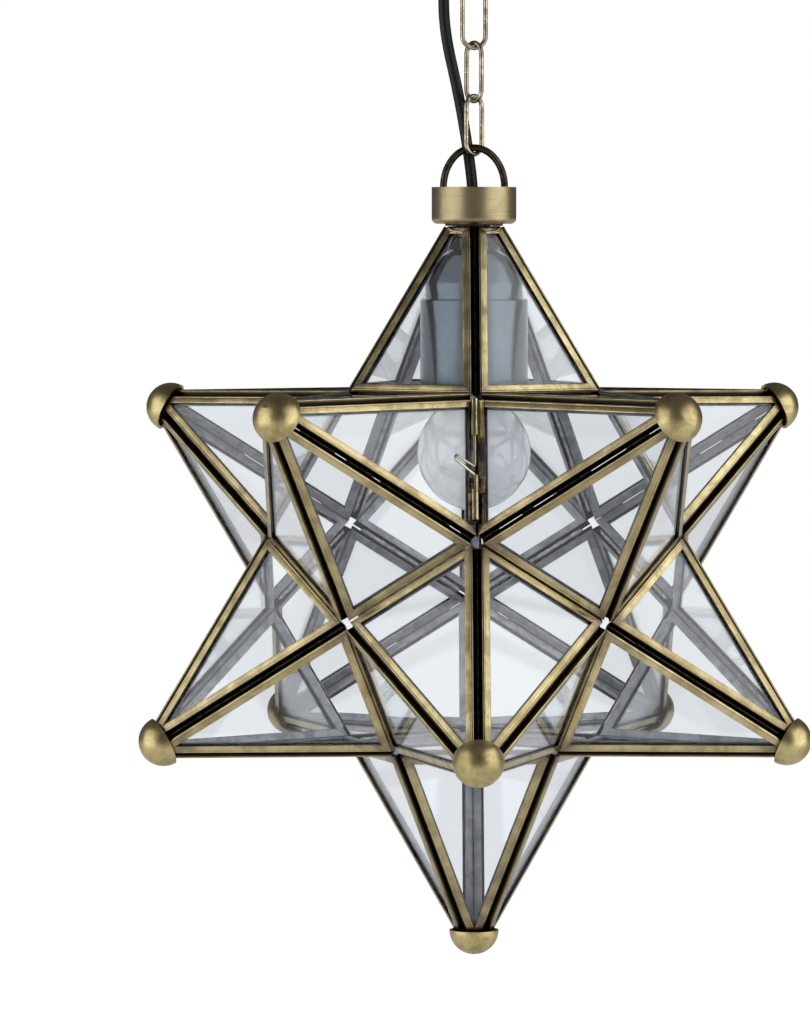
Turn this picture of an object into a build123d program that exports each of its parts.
from build123d import *
from math import acos, asin, cos, pi, radians, sin, sqrt, tan
import os

# Star shaped glass lantern on a chain. All sizes are in millimetres.
# The star is laid out about its own centre and lowered by star_drop when it is written,
# so the origin is the middle of the rose's seat on the ceiling, +Z is up and -Y is the front.

# Star
core_edge = 60.8         # edge of the twelve sided core, the foot of every spike
tip_reach = 1.25         # tips stand this much further out than a regular star's
top_rise = 2.0           # the five corners round the top spike stand this much high

# Panes: clear glass in a folded brass channel, soldered at the corners
channel_depth = 3.7      # through the pane
channel_face = 3.2       # width of brass that shows round the glass
channel_sheet = 0.45     # thickness of the brass sheet
glass_thickness = 2.0
glass_play = 0.05        # between the glass and each lip of the channel
glass_edge_play = 0.3    # between the edge of the glass and the channel
solder_gap = 0.05        # half the gap between two frames that are soldered together
door_gap = 0.25          # half the gap round the spike that opens

# Tip domes
dome_radius = 9.5
dome_wall = 1.0
dome_seat_play = 0.6     # corner of the spike to the dome's outer radius
tip_overrun = 3.0        # frames run this far up into the dome

# Top of the star, cup and hanging loop
neck_radius = 12.9       # corner circle of the top spike where it is cut off
neck_scoop_width = 9.0   # hollow in the top edge of each neck frame
neck_scoop_depth = 1.6
neck_plate_radius = 11.0
neck_plate_thickness = 0.8
cup_radius = 16.15
cup_height = 14.0
cup_wall = 0.8
cup_corner = 2.2
loop_wire = 2.7
loop_width = 26.0        # outside, where the loop leaves the cup
loop_rise = 16.3         # above the rim of the cup
loop_plate_thickness = 1.6
loop_plate_margin = 1.0  # plate outside the legs of the loop
loop_plate_chamfer = 0.6
loop_plate_lift = 0.3    # plate above the floor of the cup
tube_radius = 5.0
tube_bore = 3.5
tube_end = 1.0           # of the threaded tube past its nut
tube_entry = 3.0         # of the threaded tube in the lamp holder
nut_flat = 2.0           # nut's flats outside the tube
nut_height = 3.0
ring_nut_wall = 1.3
ring_nut_height = 2.5
thread_play = 0.05
bush_bore = 2.5
bush_length = 4.0
bush_flange = 1.0
bush_margin = 0.4        # flange inside the tube's outer radius

# Lamp holder
holder_play = 0.2        # shoulder of the holder to the glass beside it
holder_length = 53.3
holder_step = 2.0        # skirt outside the cap
holder_room = 1.3        # round the insulating core
holder_wall = 1.6
holder_split = 0.65      # share of the length that is skirt
# Shoulder of the cap: inwards from its side, and down from its top
holder_shoulder = [(9.1, 0.0), (6.3, 2.1), (4.0, 4.9), (1.7, 9.1), (0.0, 12.5)]
skirt_chamfer = 0.6
core_wall = 1.6
core_play = 0.1
core_ledge = 2.0         # rim of the core, clamped between cap and skirt
core_floor = 2.0
wire_hole_radius = 1.6
wire_hole_at = 9.0
contact_radius = 3.0
contact_lift = 0.85
contact_stud_radius = 1.2
contact_stud_length = 1.5
contact_gap = 0.15       # bulb to the contact of the holder
shell_wall = 0.5
shell_recess = 1.5       # screw shell above the foot of the holder
screw_play = 0.1

# Bulb
bulb_radius = 22.1
bulb_reach = 24.3        # foot of the holder down to the middle of the bulb
bulb_wall = 0.7
bulb_crease = 5.0
bulb_neck_play = 0.2
lamp_cap_radius = 13.0
lamp_cap_length = 22.0
lamp_cap_out = 3.0       # cap below the foot of the holder
lamp_cap_top = 3.6       # height of the cap's sloping end
lamp_cap_slope = 0.77    # share of the cap's radius where its end starts to slope
lamp_contact_radius = 4.8
lamp_contact_height = 1.4
filament_spread = 8.5
filament_drop = 1.0      # ends of the filament below the middle of the bulb
filament_rise = 3.6
filament_coil = 0.6
filament_lead = 0.35
lead_spread = 2.9        # leads from the middle, where they leave the stem
stem_radius = 1.6
stem_above = 6.0         # end of the stem above the middle of the bulb
stem_flare = 0.6
stem_straight = 8.0

# Chain and its hook
link_wire = 1.8
link_length = 23.9
link_width = 10.8
link_play = 0.1
link_turns = (48.0, 128.0, 12.0, 90.0)   # of each link's plane from the front, lowest link first
link_joint_gap = 0.15
hang_play = 0.2          # lowest link to the loop, highest link to the hook
hook_wire = 3.0
hook_radius = 6.0        # to the middle of the wire
hook_drop = 17.64        # rose down to the wire that the chain hangs on
hook_bend = 1.5          # top of the hook's bend below the rose
hook_opening = 25.0      # degrees that the hook's end stands above its middle
hook_shank_radius = 2.0
hook_shank_length = 14.0
hook_collar = 2.0
hook_collar_gap = 0.2
hook_nut_flats = 7.0
hook_nut_height = 3.2
washer_radius = 5.0
washer_thickness = 0.8

# Ceiling rose
rose_radius = 45.0
rose_depth = 23.0
rose_wall = 1.0
rose_corner = 12.0
rose_lip = 1.5
bracket_length = 74.0
bracket_width = 20.0
bracket_thickness = 2.0
bracket_corner = 4.0
ceiling_hole_radius = 2.2
ceiling_hole_spacing = 38.0
stud_spacing = 58.0
stud_radius = 2.0
stud_collar_radius = 3.5
stud_collar_height = 2.3
stud_out = 3.5           # stud below the rose
stud_recess = 0.2        # stud below the ceiling
cap_nut_radius = 4.2
cap_nut_skirt = 2.6
cap_nut_step = 0.6
outlet_bore = 5.4
outlet_wall = 0.8
outlet_flange = 7.2
outlet_flange_height = 1.35
outlet_length = 5.0
clamp_width = 11.0
clamp_depth = 10.0
clamp_height = 15.0
clamp_grip = 3.0         # flex inside the clamp
terminal_at = 9.0
terminal_width = 10.0
terminal_length = 18.0
terminal_pitch = 5.6
terminal_screw_radius = 1.4
terminal_screw_length = 3.5
terminal_screw_sink = 0.5

# Flex from the lamp holder to the rose: across, back, and above the neck
cord_radius = 2.1
cord_play = 0.1
cord_route = [
    (0.0, 0.0, -8.45),
    (0.0, 0.0, 11.05),
    (-2.4, 4.1, 30.55),
    (-6.0, 3.9, 51.05),
    (-11.4, 2.2, 74.55),
    (-11.6, 1.6, 94.05),
    (-12.4, 1.1, 115.05),
    (-12.4, 1.1, 134.05),
]

# Hinge of the spike that opens
knuckle_radius = 1.5
hinge_pin_radius = 0.6
hinge_pin_head = 0.6
hinge_play = 0.05
hinge_stand_off = 0.25   # knuckle to the brass behind it
hinge_leaf_at = 0.35     # leaf from the line where the panes meet
hinge_start = 13.0       # along the edge from its upper end
hinge_knuckle = 9.0
hinge_middle = 15.0
knuckle_gap = 0.3

# Latch: two guide tubes on the door, a keeper tube on the star and a wire bolt
guide_radius = 1.35
guide_stand_off = 0.35
bolt_radius = 0.55
bolt_play = 0.08
upper_guide_start = 4.1
upper_guide_length = 15.4
lower_guide_start = 36.5
lower_guide_length = 6.7
keeper_length = 11.6
keeper_gap = 0.3
guide_slot_width = 1.5
guide_slot_length = 5.9
bolt_top = 8.4
bolt_bend = 32.6
bolt_return = 36.0
bolt_finger_reach = 9.5
bolt_finger_rise = 1.7
bolt_finger_width = 1.7
bolt_bends = [0.9, 0.75, 0.75, 1.2]
bolt_lean = 10.0         # degrees that the finger loop stands off the pane beside it
leaf_width = 3.2
leaf_thickness = 0.4
saddle_width = 1.2

# Shape of a regular star: each spike stands on one face of the core
corner_radius_in = 0.8507 * core_edge    # rings of corners next to the top and bottom spikes
corner_height_in = 1.1135 * core_edge
corner_radius_out = 1.3764 * core_edge   # rings of corners round the waist
corner_height_out = 0.2629 * core_edge
spike_height = 1.3764 * core_edge + tip_reach
face_radius_in = 0.6882 * core_edge      # middle of a foot's edge to the spike's axis
tip_distance = corner_height_in + spike_height
ring_slope = asin(1 / sqrt(5))           # of the two rings of spikes, up or down
fifth = 72.0

# Neck, cup and loop
top_height = spike_height - top_rise
dome_rim = tip_distance - (dome_radius - dome_seat_play) * spike_height / corner_radius_in
neck_height = tip_distance - neck_radius * top_height / corner_radius_in
cup_floor = neck_height + neck_plate_thickness
cup_rim = cup_floor + cup_height
plate_low = cup_floor + cup_wall + loop_plate_lift
plate_high = plate_low + loop_plate_thickness
loop_top = cup_rim + loop_rise
loop_axis = loop_top - loop_wire / 2

# Lamp holder, as high as the glass round its shoulder lets it stand
shell_inner = lamp_cap_radius + screw_play
shell_outer = shell_inner + shell_wall
holder_radius = shell_outer + core_wall + holder_room + holder_wall
skirt_radius = holder_radius + holder_step
glass_inner = (channel_depth + glass_thickness) / 2 * sqrt(1 + (face_radius_in / top_height) ** 2)
holder_top = min(
    tip_distance + drop - (holder_radius - inwards + holder_play + glass_inner) * top_height / face_radius_in
    for inwards, drop in holder_shoulder
)
holder_foot = holder_top - holder_length
holder_seam = holder_foot + holder_split * holder_length
cap_foot = holder_foot - lamp_cap_out
cap_top = cap_foot + lamp_cap_length
contact_level = cap_top + lamp_cap_top + lamp_contact_height
bulb_centre = holder_foot - bulb_reach
bulb_neck_radius = lamp_cap_radius - shell_wall - bulb_neck_play

# Where the chain hangs, and the height of the whole lamp
link_pitch = link_length - 2 * link_wire - link_play
first_link = loop_top - loop_wire - hang_play - link_wire + link_length / 2
last_link = first_link + link_pitch * (len(link_turns) - 1)
hook_axis = last_link + link_length / 2 - link_wire - hang_play - hook_wire / 2
rose_floor = hook_axis + hook_drop
star_drop = rose_floor + rose_depth      # ceiling down to the centre of the star


def polar(radius, azimuth, height):
    """A point at an azimuth measured from the front towards +X."""
    turn = radians(azimuth)
    return Vector(radius * sin(turn), -radius * cos(turn), height)


def save(name, *solids):
    """Writes one named piece, or a group of like pieces, lowered to hang from the ceiling."""
    lowered = [Location((0, 0, -star_drop)) * solid for group in solids for solid in group.solids()]
    export_step(Compound(children=lowered), f"parts/{name}.step")


def turned(points):
    """A solid of revolution about Z from (radius, height) points."""
    outline = Plane.XZ * Polygon(*points, align=None)
    return revolve(outline, Axis.Z)


def rod(radius, low, high, at=(0, 0)):
    """An upright cylinder between two heights."""
    return Pos(at[0], at[1], low) * Cylinder(radius, high - low, align=(Align.CENTER, Align.CENTER, Align.MIN))


def hexagon_nut(flats, low, high, bore, at=(0, 0)):
    """A plain nut with its bore."""
    blank = Pos(at[0], at[1], low) * extrude(RegularPolygon(flats / 2, 6, major_radius=False), high - low)
    return blank - rod(bore, low - 1, high + 1, at)


# The corners of the core, in rings of five

top_ring = [polar(corner_radius_in, fifth * k, corner_height_in + top_rise) for k in range(5)]
upper_ring = [polar(corner_radius_out, fifth * k, corner_height_out) for k in range(5)]
lower_ring = [polar(corner_radius_out, fifth * (k + 0.5), -corner_height_out) for k in range(5)]
bottom_ring = [polar(corner_radius_in, fifth * (k + 0.5), -corner_height_in) for k in range(5)]


def spike(axis, corners):
    """A spike as its tip and the five corners of its foot, in order round its axis."""
    return {"axis": axis, "tip": axis * tip_distance, "corners": corners}


def ring_axis(azimuth, side):
    """Direction of a spike in the upper (+1) or lower (-1) ring."""
    return polar(cos(ring_slope), azimuth, side * sin(ring_slope))


def upper_spike(k):
    """Spike of the upper ring between the corners k and k + 1."""
    n = (k + 1) % 5
    corners = [top_ring[n], top_ring[k], upper_ring[k], lower_ring[k], upper_ring[n]]
    return spike(ring_axis(fifth * (k + 0.5), 1), corners)


def lower_spike(k):
    """Spike of the lower ring under the upper ring's corner k."""
    p = (k - 1) % 5
    corners = [upper_ring[k], lower_ring[p], bottom_ring[p], bottom_ring[k], lower_ring[k]]
    return spike(ring_axis(fifth * k, -1), corners)


top_spike = spike(Vector(0, 0, 1), top_ring)
bottom_spike = spike(Vector(0, 0, -1), bottom_ring[::-1])


# One pane: a flat triangle with its insets, worked out from its two neighbours

def pane_normal(one, tip, k):
    """Outward normal of pane k of a spike."""
    a, b = one["corners"][k], one["corners"][(k + 1) % 5]
    normal = (b - a).cross(tip - a).normalized()
    return normal if normal.dot((a + b) * 0.5 - one["axis"] * corner_height_in) > 0 else -normal


def ridge_inset(one, k):
    """How far a frame stays back from the ridge it shares with pane k + 1, so that they meet inside."""
    tip = one["tip"]
    between = acos(pane_normal(one, tip, k).dot(pane_normal(one, tip, (k + 1) % 5)))
    return channel_depth * tan(between / 2) + solder_gap


def cut_back(outline, point, inward):
    """The part of a convex outline on the inner side of a line."""
    kept = []
    for k, here in enumerate(outline):
        there = outline[(k + 1) % len(outline)]
        depth_here = (here[0] - point[0]) * inward[0] + (here[1] - point[1]) * inward[1]
        depth_there = (there[0] - point[0]) * inward[0] + (there[1] - point[1]) * inward[1]
        if depth_here >= 0:
            kept.append(here)
        if depth_here * depth_there < 0:
            share = depth_here / (depth_here - depth_there)
            kept.append((here[0] + share * (there[0] - here[0]), here[1] + share * (there[1] - here[1])))
    return kept


def pane(one, k, tip_cut, foot_gap):
    """Plane of a pane on its outer face, its outline drawn in by a distance, and where its upper edge is."""
    a, b = one["corners"][k], one["corners"][(k + 1) % 5]
    tip = one["tip"]
    normal = pane_normal(one, tip, k)
    across = (b - a).normalized()
    if across.cross(tip - a).dot(normal) < 0:
        a, b, across = b, a, -across
    plane = Plane(origin=(a + b) * 0.5, x_dir=across, z_dir=normal)
    half = (b - a).length / 2
    up = normal.cross(across)
    tip_x = (tip - plane.origin).dot(across)
    tip_y = (tip - plane.origin).dot(up)
    sides = [((0.0, 0.0), (0.0, 1.0), foot_gap), ((0.0, tip_y - tip_cut), (0.0, -1.0), 0.0)]
    for end, inset in ((-half, ridge_inset(one, (k - 1) % 5)), (half, ridge_inset(one, k))):
        run = sqrt((tip_x - end) ** 2 + tip_y ** 2)
        facing = 1.0 if end < 0 else -1.0
        sides.append(((end, 0.0), (facing * tip_y / run, -facing * (tip_x - end) / run), inset))

    def outline(drawn_in):
        shape = [(-2 * core_edge, -1.0), (2 * core_edge, -1.0), (2 * core_edge, tip_y), (-2 * core_edge, tip_y)]
        for (px, py), (nx, ny), inset in sides:
            shape = cut_back(shape, (px + nx * (inset + drawn_in), py + ny * (inset + drawn_in)), (nx, ny))
        return shape

    return plane, outline, tip_y - tip_cut


def slab(plane, points, depth, thickness):
    """A flat plate under a plane's face."""
    return extrude(plane.offset(-depth) * Polygon(*points, align=None), -thickness)


def neck_scoop(plane, upper_edge, drawn_in):
    """Round hollow in the upper edge of a neck frame, made larger by a distance."""
    radius = (neck_scoop_width ** 2 / 4 + neck_scoop_depth ** 2) / (2 * neck_scoop_depth)
    middle = Pos(0, upper_edge + radius - neck_scoop_depth, -channel_depth / 2)
    return plane * middle * Cylinder(radius + drawn_in, 2 * channel_depth)


def channel_frame(plane, outline, upper_edge, scooped):
    """Folded channel round a pane: a ring with a groove for the glass."""
    pocket = glass_thickness + 2 * glass_play
    ring = slab(plane, outline(0), 0, channel_depth)
    groove = slab(plane, outline(channel_sheet), (channel_depth - pocket) / 2, pocket)
    if scooped:
        ring -= neck_scoop(plane, upper_edge, 0)
        groove -= neck_scoop(plane, upper_edge, channel_sheet)
    ring -= slab(plane, outline(channel_face), -0.1, channel_depth + 0.2)
    return ring - groove


def glass_plate(plane, outline, upper_edge, scooped):
    """The glass that lies in the groove."""
    inset = channel_sheet + glass_edge_play
    glass = slab(plane, outline(inset), (channel_depth - glass_thickness) / 2, glass_thickness)
    return glass - neck_scoop(plane, upper_edge, inset) if scooped else glass


def slope_length(below_tip, height):
    """Length down the middle of a pane for a drop below the tip, on a spike of some height."""
    return below_tip * sqrt(height ** 2 + face_radius_in ** 2) / height


tip_cut = slope_length(tip_distance - dome_rim - tip_overrun, spike_height)
neck_cut = slope_length(tip_distance - neck_height, top_height)


def spike_panes(one, cut, foot_gap=solder_gap):
    """The five frames and five glasses of a spike."""
    panes = [pane(one, k, cut, foot_gap) for k in range(5)]
    scooped = one is top_spike
    return [channel_frame(*p, scooped) for p in panes], [glass_plate(*p, scooped) for p in panes]


def tip_dome(one):
    """Pressed brass half ball over a tip, open towards the star."""
    ball = Sphere(dome_radius) - Sphere(dome_radius - dome_wall)
    half = ball - Pos(0, 0, -dome_radius) * Box(2 * dome_radius, 2 * dome_radius, 2 * dome_radius)
    return Plane(origin=one["axis"] * dome_rim, z_dir=one["axis"]) * half


# The spike that opens is the upper one to the right of the front corner

door_spike = upper_spike(0)
fixed_upper = [upper_spike(k) for k in range(1, 5)]
lowers = [lower_spike(k) for k in range(5)]


def make_star():
    """Fixed spikes of the star with their glass and tip domes, and the spike that opens."""
    groups = [("top", top_spike, neck_cut), ("bottom", bottom_spike, tip_cut)]
    groups += [(f"upper_{k + 1}", one, tip_cut) for k, one in enumerate(fixed_upper)]
    groups += [(f"lower_{k + 1}", one, tip_cut) for k, one in enumerate(lowers)]
    upper_glass, lower_glass = [], []
    for name, one, cut in groups:
        frames, glasses = spike_panes(one, cut)
        save(f"frames_{name}", *frames)
        if name.startswith("upper"):
            upper_glass += glasses
        elif name.startswith("lower"):
            lower_glass += glasses
        else:
            save(f"glass_{name}", *glasses)
    save("glass_upper", *upper_glass)
    save("glass_lower", *lower_glass)
    save("tip_domes_upper", *[tip_dome(one) for one in fixed_upper])
    save("tip_domes_lower", *[tip_dome(one) for one in lowers])
    save("tip_dome_bottom", tip_dome(bottom_spike))
    frames, glasses = spike_panes(door_spike, tip_cut, door_gap)
    save("door_frames", *frames)
    save("door_glass", *glasses)
    save("door_tip_dome", tip_dome(door_spike))


# Valleys beside the door, where its hinge and its latch are

def valley(top_corner, foot_corner, fixed, door):
    """Axes of a valley between a fixed pane and one of the door's panes."""
    along = (foot_corner - top_corner).normalized()
    sides = []
    for one in (fixed, door):
        corners = one["corners"]
        shared = {id(top_corner), id(foot_corner)}
        k = next(i for i in range(5) if {id(corners[i]), id(corners[(i + 1) % 5])} == shared)
        normal = pane_normal(one, one["tip"], k)
        away = along.cross(normal)
        if away.dot(one["tip"] - top_corner) < 0:
            away = -away
        sides.append((normal, away))
    return {"start": top_corner, "along": along, "fixed": sides[0], "door": sides[1]}


def rod_along(frame, centre, radius, start, length):
    """A rod laid along a valley, at a centre given from the valley's line."""
    plane = Plane(origin=frame["start"] + centre + frame["along"] * start, z_dir=frame["along"])
    return extrude(plane * Circle(radius), length)


def leaved_tube(frame, side, centre, radius, bore, stand_off, start, length):
    """A rolled tube with the leaf and the neck by which it is soldered to the brass beside it."""
    normal, away = frame[side]
    tube = rod_along(frame, centre, radius, start, length)
    hole = rod_along(frame, centre, bore, start - 1, length + 2)
    middle = frame["start"] + frame["along"] * (start + length / 2)
    face = Plane(origin=middle, x_dir=frame["along"], z_dir=normal)
    lateral = face.to_local_coords(middle + away).Y
    leaf_at = Pos(0, lateral * (stand_off + leaf_width / 2), leaf_thickness / 2)
    leaf = face * leaf_at * Box(length, leaf_width, leaf_thickness)
    height = centre.dot(normal)
    reach = max(centre.dot(away), stand_off + saddle_width / 2)
    neck = face * Pos(0, lateral * reach, height / 2) * Box(length, saddle_width, height)
    return leaf + neck + tube - hole


def make_hinge():
    """Butt hinge of three knuckles in the right hand valley, on a headed pin."""
    frame = valley(top_ring[1], upper_ring[1], fixed_upper[0], door_spike)
    bisector = (frame["fixed"][0] + frame["door"][0]).normalized()
    stand = (knuckle_radius + hinge_stand_off) / bisector.dot(frame["fixed"][0])
    centre = bisector * stand
    bore = hinge_pin_radius + hinge_play
    middle_start = hinge_start + hinge_knuckle + knuckle_gap
    last_start = middle_start + hinge_middle + knuckle_gap
    outer = [
        leaved_tube(frame, "fixed", centre, knuckle_radius, bore, hinge_leaf_at, start, hinge_knuckle)
        for start in (hinge_start, last_start)
    ]
    save("hinge_fixed_knuckles", *outer)
    save(
        "hinge_door_knuckle",
        leaved_tube(frame, "door", centre, knuckle_radius, bore, hinge_leaf_at, middle_start, hinge_middle),
    )
    head = hinge_pin_head
    length = last_start + hinge_knuckle - hinge_start
    pin = rod_along(frame, centre, hinge_pin_radius, hinge_start - head, length + 2 * head)
    for start in (hinge_start - head, hinge_start + length + hinge_play):
        pin += rod_along(frame, centre, 2 * hinge_pin_radius, start, head - hinge_play)
    save("hinge_pin", pin)
    at = frame["start"] + centre
    print("hinge axis through", at - Vector(0, 0, star_drop), "along", frame["along"])


def make_latch():
    """Sliding wire bolt in the front valley, with its two guides on the door and its keeper on the star."""
    frame = valley(top_ring[0], upper_ring[0], fixed_upper[3], door_spike)
    normal, away = frame["fixed"]
    centre = (away + normal) * (guide_radius + guide_stand_off)
    tube = (centre, guide_radius, bolt_radius + bolt_play, guide_stand_off)
    upper = leaved_tube(frame, "door", *tube, upper_guide_start, upper_guide_length)
    lower = leaved_tube(frame, "door", *tube, lower_guide_start, lower_guide_length)
    lean = radians(bolt_lean)
    out = away * cos(lean) + normal * sin(lean)
    slot_middle = lower_guide_start + (guide_slot_length - 1) / 2
    slot_plane = Plane(
        origin=frame["start"] + centre + frame["along"] * slot_middle,
        x_dir=frame["along"],
        z_dir=out,
    )
    slot = slot_plane * Pos(0, 0, guide_radius) * Box(guide_slot_length + 1, guide_slot_width, 2 * guide_radius)
    save("latch_guides", upper, lower - slot)
    lower_guide_end = lower_guide_start + lower_guide_length
    save("latch_keeper", leaved_tube(frame, "fixed", *tube, lower_guide_end + keeper_gap, keeper_length))
    finger = bolt_bend - bolt_finger_rise
    route = [
        (bolt_top, 0),
        (bolt_bend, 0),
        (finger, bolt_finger_reach - bolt_finger_width / 6),
        (finger + bolt_finger_width, bolt_finger_reach + bolt_finger_width / 3),
        (bolt_return, 0),
        (lower_guide_end - keeper_gap, 0),
    ]
    points = [frame["start"] + centre + frame["along"] * s + out * r for s, r in route]
    path = FilletPolyline(*points, radius=bolt_bends)
    section = Plane(origin=points[0], z_dir=frame["along"]) * Circle(bolt_radius)
    save("latch_bolt", sweep(section, path))
    print("bolt slides along", -frame["along"])


# Top of the star

def make_top():
    """Neck plate, cup, loop with its plate, threaded tube and nuts."""
    bore = tube_radius + thread_play
    plate = rod(neck_plate_radius, neck_height, cup_floor) - rod(bore, neck_height - 1, cup_floor + 1)
    save("neck_plate", plate)
    block = rod(cup_radius, cup_floor, cup_rim)
    block = fillet(block.edges().group_by(Axis.Z)[0], cup_corner)
    hollow = rod(cup_radius - cup_wall, cup_floor + cup_wall, cup_rim + cup_corner)
    hollow = fillet(hollow.edges().group_by(Axis.Z)[0], cup_corner - cup_wall)
    save("top_cup", block - hollow - rod(bore, cup_floor - 1, cup_rim))
    leg = loop_width / 2 - loop_wire / 2
    disc = rod(loop_width / 2 + loop_plate_margin, plate_low, plate_high)
    disc = chamfer(disc.edges().group_by(Axis.Z)[0], loop_plate_chamfer)
    for side in (-1, 1):
        disc -= rod(loop_wire / 2, plate_low - 1, plate_high + 1, (side * leg, 0))
    save("loop_plate", disc - rod(bore, plate_low - 1, plate_high + 1))
    arch = Plane.XZ * EllipticalCenterArc((0, cup_rim), leg, loop_axis - cup_rim, arc_size=180)
    path = Line((-leg, 0, plate_low), (-leg, 0, cup_rim)) + arch + Line((leg, 0, cup_rim), (leg, 0, plate_low))
    section = Plane(origin=(-leg, 0, plate_low), z_dir=(0, 0, 1)) * Circle(loop_wire / 2)
    save("hanging_loop", sweep(section, path))
    nut_top = plate_high + nut_height
    tube_top = nut_top + tube_end
    tube_low = holder_top - tube_entry
    save("threaded_tube", rod(tube_radius, tube_low, tube_top) - rod(tube_bore, tube_low - 1, tube_top + 1))
    ring_nut = rod(tube_radius + ring_nut_wall, neck_height - ring_nut_height, neck_height)
    ring_nut -= rod(bore, neck_height - ring_nut_height - 1, neck_height + 1)
    save("tube_nuts", hexagon_nut(2 * (tube_radius + nut_flat), plate_high, nut_top, bore), ring_nut)
    bush = rod(tube_bore - thread_play, tube_top - bush_length, tube_top)
    bush += rod(tube_radius - bush_margin, tube_top, tube_top + bush_flange)
    bush -= rod(bush_bore, tube_top - bush_length - 1, tube_top + bush_flange + 1)
    mouth = bush.edges().group_by(Axis.Z)[-1].sort_by(SortBy.RADIUS)[0]
    save("cord_bush", fillet(mouth, 0.9 * bush_flange))


# Lamp holder

def make_holder():
    """Cap, skirt, insulating core, screw shell and centre contact of the lamp holder."""
    wall = holder_wall
    cap_inside = holder_radius - wall
    outside = [(holder_radius - inwards, holder_top - drop) for inwards, drop in holder_shoulder]
    inside = [(r - wall, z - wall) for r, z in outside]
    bore = tube_radius + thread_play
    outline = [(bore, holder_top)] + outside + [(holder_radius, holder_seam), (cap_inside, holder_seam)]
    save("holder_cap", turned(outline + inside[::-1] + [(bore, holder_top - wall)]))
    skirt = turned(
        [
            (skirt_radius, holder_foot),
            (skirt_radius, holder_seam - skirt_chamfer),
            (skirt_radius - skirt_chamfer, holder_seam),
            (cap_inside - wall, holder_seam),
            (cap_inside - wall, holder_seam - wall),
            (skirt_radius - wall, holder_seam - wall),
            (skirt_radius - wall, holder_foot),
        ]
    )
    save("holder_skirt", skirt)
    contact_top = contact_level + contact_gap + contact_lift
    floor_top = contact_level + core_floor
    core = rod(cap_inside - wall - core_play, floor_top, holder_seam + core_ledge / 2)
    core += rod(cap_inside - core_play, holder_seam, holder_seam + core_ledge)
    core += rod(shell_outer + core_wall, contact_level - 3 * core_floor, floor_top)
    core -= rod(shell_outer + core_play, contact_level - 3 * core_floor - 1, contact_level + core_floor / 2)
    stud_top = contact_top + contact_stud_length
    core -= rod(contact_stud_radius + thread_play, contact_level, stud_top)
    for side in (-1, 1):
        core -= rod(wire_hole_radius, contact_level, holder_seam + core_ledge + 1, (0, side * wire_hole_at))
    save("holder_core", core)
    shell = rod(shell_outer, holder_foot + shell_recess, contact_level)
    save("screw_shell", shell - rod(shell_inner, holder_foot, contact_level + 1))
    contact_low = contact_level + contact_gap
    contact = rod(contact_radius, contact_low, contact_top) + rod(contact_stud_radius, contact_low, stud_top)
    save("centre_contact", contact)


def make_bulb():
    """Opal bulb: glass, screw cap, contact, glass stem and filament."""
    globes = []
    for wall in (0, bulb_wall):
        neck = rod(bulb_neck_radius - wall, bulb_centre, cap_foot + core_floor + wall)
        globe = Pos(0, 0, bulb_centre) * Sphere(bulb_radius - wall) + neck
        rings = globe.edges().filter_by(lambda edge: edge.is_closed)
        globes.append(fillet(rings.sort_by(Axis.Z)[0], bulb_crease + wall))
    save("bulb_glass", globes[0] - globes[1])
    slope_top = cap_top + lamp_cap_top
    cap = rod(lamp_cap_radius, cap_foot, cap_top)
    cap -= rod(lamp_cap_radius - shell_wall, cap_foot - 1, cap_top - 2 * shell_wall)
    slope_foot = lamp_cap_slope * lamp_cap_radius
    cap += turned([(0, cap_top), (slope_foot, cap_top), (lamp_contact_radius, slope_top), (0, slope_top)])
    save("bulb_cap", cap)
    save("bulb_contact", rod(lamp_contact_radius - 0.6, slope_top, contact_level))
    flare = bulb_neck_radius - bulb_wall - core_play
    flare_top = cap_foot + core_floor - 0.3
    stem = turned(
        [
            (0, bulb_centre + stem_above),
            (stem_radius, bulb_centre + stem_above),
            (stem_radius + stem_flare, bulb_centre + stem_above + stem_straight),
            (flare, flare_top - bulb_wall),
            (flare, flare_top),
            (0, flare_top),
        ]
    )
    save("bulb_stem", stem)
    level = bulb_centre - filament_drop
    ends = [(-filament_spread, 0, level), (0, 0, level + filament_rise), (filament_spread, 0, level)]
    filament = sweep(Plane(origin=ends[0], z_dir=(1, 0, 1)) * Circle(filament_coil), ThreePointArc(*ends))
    for side in (-1, 1):
        lead = Line((side * lead_spread, 0, bulb_centre + 2 * stem_above), (side * filament_spread, 0, level))
        filament += sweep(Plane(origin=lead @ 0, z_dir=lead % 0) * Circle(filament_lead), lead)
    save("bulb_filament", filament)


# Chain

def chain_link(turn, height):
    """One long link bent from wire, with the open joint in its side."""
    half = (link_length - link_width) / 2
    radius = (link_width - link_wire) / 2
    path = Line((radius, 0, -half), (radius, 0, half))
    path += ThreePointArc((radius, 0, half), (0, 0, half + radius), (-radius, 0, half))
    path += Line((-radius, 0, half), (-radius, 0, -half))
    path += ThreePointArc((-radius, 0, -half), (0, 0, -half - radius), (radius, 0, -half))
    section = Plane(origin=(radius, 0, -half), z_dir=(0, 0, 1)) * Circle(link_wire / 2)
    link = sweep(section, path)
    link -= Pos(radius, 0, 0) * Box(2 * link_wire, 2 * link_wire, link_joint_gap)
    return Pos(0, 0, height) * Rot(0, 0, turn) * link


def make_chain():
    """The links from the loop up to the hook."""
    for k, turn in enumerate(link_turns):
        save(f"chain_link_{k + 1}", chain_link(turn, first_link + k * link_pitch))


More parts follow.
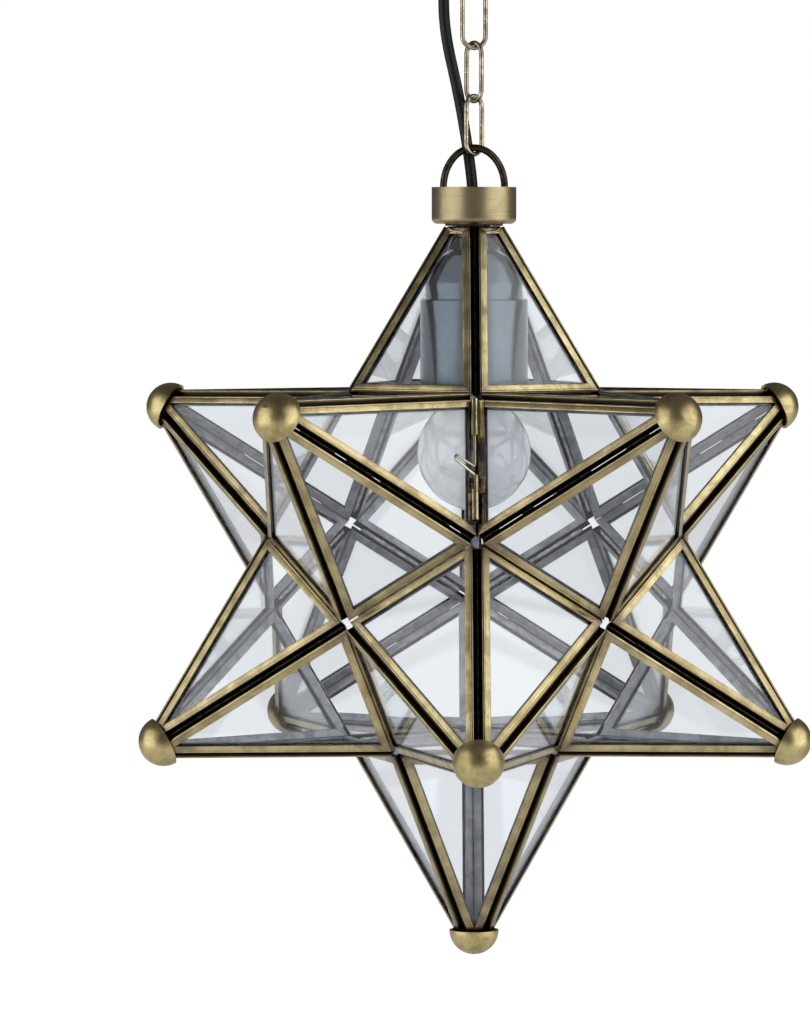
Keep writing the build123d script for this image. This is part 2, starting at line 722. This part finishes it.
def make_cord():
    """Round flex: straight runs joined by tangent arcs."""
    points = [Vector(x, y, z + neck_height) for x, y, z in cord_route]
    radii = []
    for before, here, after in zip(points, points[1:], points[2:]):
        turn = (here - before).get_angle(after - here)
        run = min((here - before).length, (after - here).length)
        radii.append(0.45 * run / tan(radians(turn) / 2))
    path = FilletPolyline(*points, radius=radii)
    section = Plane(origin=points[0], z_dir=points[1] - points[0]) * Circle(cord_radius)
    cord = sweep(section, path)
    print("cord arcs", [round(r) for r in radii])
    print("cord length", round(path.length, 1), "volume", round(cord.volume), "expected",
          round(path.length * pi * cord_radius ** 2))
    save("supply_cord", cord)


# Ceiling rose

def make_hook():
    """Open wire hook with a threaded shank, and the washer and nuts that hold it in the rose."""
    centre = hook_axis + hook_radius
    start = rose_floor - hook_bend
    rise = start - centre
    small = (rise ** 2 - hook_radius ** 2) / (2 * hook_radius)
    to_small = Vector(-small, 0, rise).normalized()
    meet = Vector(0, 0, centre) + to_small * hook_radius
    small_centre = Vector(-small, 0, start)
    mid_turn = (Vector(small, 0, 0).normalized() + (meet - small_centre).normalized()).normalized()
    small_mid = small_centre + mid_turn * small
    end = Vector(0, 0, centre) + Vector(cos(radians(hook_opening)), 0, sin(radians(hook_opening))) * hook_radius
    path = Line((0, 0, rose_floor), (0, 0, start))
    path += ThreePointArc((0, 0, start), small_mid, meet)
    path += ThreePointArc(meet, (0, 0, hook_axis), end)
    section = Plane(origin=(0, 0, rose_floor), z_dir=(0, 0, -1)) * Circle(hook_wire / 2)
    hook = sweep(section, path) + rod(hook_shank_radius, start, rose_floor + hook_shank_length)
    hook += rod(hook_shank_radius + hook_collar, start, rose_floor - hook_collar_gap)
    save("chain_hook", hook + Plane(origin=end, z_dir=(0, 0, 1)) * Sphere(hook_wire / 2))
    washer_low = rose_floor + rose_wall
    washer_top = washer_low + washer_thickness
    bore = hook_shank_radius + thread_play
    nut = hexagon_nut(hook_nut_flats, washer_top, washer_top + hook_nut_height, bore)
    washer = rod(washer_radius, washer_low, washer_top) - rod(bore, washer_low - 1, washer_top + 1)
    save("hook_nut", nut, washer)


def make_rose():
    """Ceiling bracket, rose, studs and cap nuts, cord outlet, cord clamp and terminal block."""
    ceiling = star_drop
    bracket = Pos(0, 0, ceiling - bracket_thickness / 2) * Box(bracket_length, bracket_width, bracket_thickness)
    bracket = fillet(bracket.edges().filter_by(Axis.Z), bracket_corner)
    for side in (-1, 1):
        low = ceiling - bracket_thickness - 1
        bracket -= rod(ceiling_hole_radius, low, ceiling + 1, (side * ceiling_hole_spacing / 2, 0))
        bracket -= rod(stud_radius + thread_play, low, ceiling + 1, (side * stud_spacing / 2, 0))
    save("ceiling_bracket", bracket)
    flat = rose_radius - rose_corner
    profile = Plane.XZ * (
        Line((0, rose_floor), (flat, rose_floor))
        + ThreePointArc(
            (flat, rose_floor),
            (flat + rose_corner * sin(pi / 4), rose_floor + rose_corner * (1 - cos(pi / 4))),
            (rose_radius, rose_floor + rose_corner),
        )
        + Line((rose_radius, rose_floor + rose_corner), (rose_radius, ceiling - rose_lip))
        + Line((rose_radius, ceiling - rose_lip), (rose_radius + rose_lip, ceiling - rose_lip))
        + Line((rose_radius + rose_lip, ceiling - rose_lip), (rose_radius + rose_lip, ceiling))
        + Line((rose_radius + rose_lip, ceiling), (rose_radius - rose_wall, ceiling))
        + Line((rose_radius - rose_wall, ceiling), (rose_radius - rose_wall, rose_floor + rose_corner))
        + ThreePointArc(
            (rose_radius - rose_wall, rose_floor + rose_corner),
            (
                flat + (rose_corner - rose_wall) * sin(pi / 4),
                rose_floor + rose_corner - (rose_corner - rose_wall) * cos(pi / 4),
            ),
            (flat, rose_floor + rose_wall),
        )
        + Line((flat, rose_floor + rose_wall), (0, rose_floor + rose_wall))
        + Line((0, rose_floor + rose_wall), (0, rose_floor))
    )
    rose = revolve(make_face(profile), Axis.Z)
    outlet_at = cord_route[-2][:2]
    rose -= rod(hook_shank_radius + thread_play, rose_floor - 1, rose_floor + 3)
    rose -= rod(outlet_bore + outlet_wall + 2 * thread_play, rose_floor - 1, rose_floor + 3, outlet_at)
    for side in (-1, 1):
        rose -= rod(stud_radius + thread_play, rose_floor - 1, rose_floor + 3, (side * stud_spacing / 2, 0))
    save("ceiling_rose", rose)
    studs, nuts = [], []
    stud_low = rose_floor - stud_out
    collar_top = ceiling - bracket_thickness - thread_play
    dome_at = rose_floor - cap_nut_skirt
    for side in (-1, 1):
        at = (side * stud_spacing / 2, 0)
        stud = rod(stud_radius, stud_low, ceiling - stud_recess, at)
        studs.append(stud + rod(stud_collar_radius, collar_top - stud_collar_height, collar_top, at))
        nut = rod(cap_nut_radius, dome_at, rose_floor, at)
        nut += Pos(at[0], at[1], dome_at) * Sphere(cap_nut_radius - cap_nut_step)
        nut -= rod(cap_nut_radius, rose_floor, rose_floor + cap_nut_radius, at)
        nuts.append(nut - rod(stud_radius + thread_play, stud_low - 0.3, rose_floor + 1, at))
    save("rose_studs", *studs)
    save("cap_nuts", *nuts)
    flange_top = rose_floor - thread_play
    outlet = rod(outlet_bore + outlet_wall, flange_top, rose_floor + outlet_length, outlet_at)
    outlet += rod(outlet_flange, flange_top - outlet_flange_height, flange_top, outlet_at)
    outlet -= rod(outlet_bore, rose_floor - 2, rose_floor + outlet_length + 1, outlet_at)
    save("cord_outlet", outlet)
    clamp_at = cord_route[-1][:2]
    under = ceiling - bracket_thickness
    clamp_low = under - clamp_height
    clamp = Pos(*clamp_at, (clamp_low + under) / 2) * Box(clamp_width, clamp_depth, clamp_height)
    clamp -= rod(cord_radius + cord_play, clamp_low - 1, clamp_low + clamp_grip + cord_play, clamp_at)
    save("cord_clamp", clamp)
    middle = under - terminal_width / 2
    block = Pos(terminal_at, 0, middle) * Box(terminal_width, terminal_length, terminal_width)
    screws = []
    for side in (-1, 0, 1):
        at = (terminal_at, side * terminal_pitch)
        block -= Pos(*at, middle) * Rot(0, 90, 0) * Cylinder(wire_hole_radius, terminal_width + 2)
        block -= rod(terminal_screw_radius + thread_play, under - terminal_width - 1, middle, at)
        screw_low = under - terminal_width + terminal_screw_sink
        screws.append(rod(terminal_screw_radius, screw_low, screw_low + terminal_screw_length, at))
    save("terminal_block", block)
    save("terminal_screws", *screws)


os.makedirs("parts", exist_ok=True)
make_rose()
make_hook()
make_chain()
make_cord()
make_top()
make_holder()
make_bulb()
make_star()
make_hinge()
make_latch()
print("star centre", -star_drop, "hook axis", hook_axis - star_drop, "loop axis", loop_axis - star_drop)
